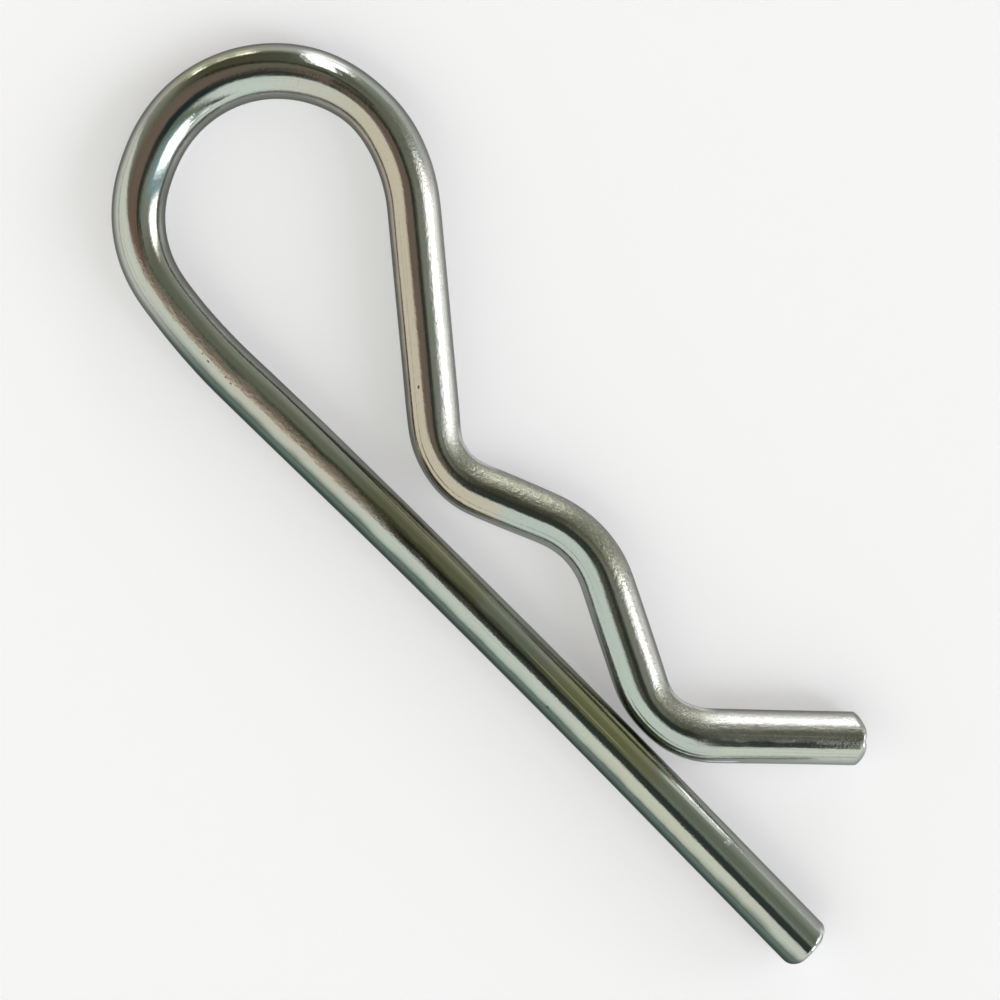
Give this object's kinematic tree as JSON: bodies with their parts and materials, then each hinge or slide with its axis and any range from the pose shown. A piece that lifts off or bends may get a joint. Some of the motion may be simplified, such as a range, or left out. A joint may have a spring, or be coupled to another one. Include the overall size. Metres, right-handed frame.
{
  "type": "hitch r clip pin",
  "caption": "Folded spring-wire R clip: a straight leg goes through a hitch shaft's cross hole, and a waved arm beside it snaps round the shaft. A round loop joins them.",
  "frame": {"origin": "where the axis of the shaft that the clip locks crosses the leg, at the middle of the wire's thickness and level with the middle of the crown", "axes": "the wire lies in the XY plane; +X runs along the straight leg to its tip, +Y from the leg to the waved arm, +Z along the locked shaft and up out of the plane in which the clip lies"},
  "size_m": [0.0794, 0.0249, 0.004],
  "materials": {
    "r_clip": "bright zinc plate with a clear passivation over drawn spring wire, softly mottled, with fine lengthwise drawing marks and sheared ends"
  },
  "bodies": {
    "root": {"r_clip": "r_clip"}
  },
  "joints": []
}
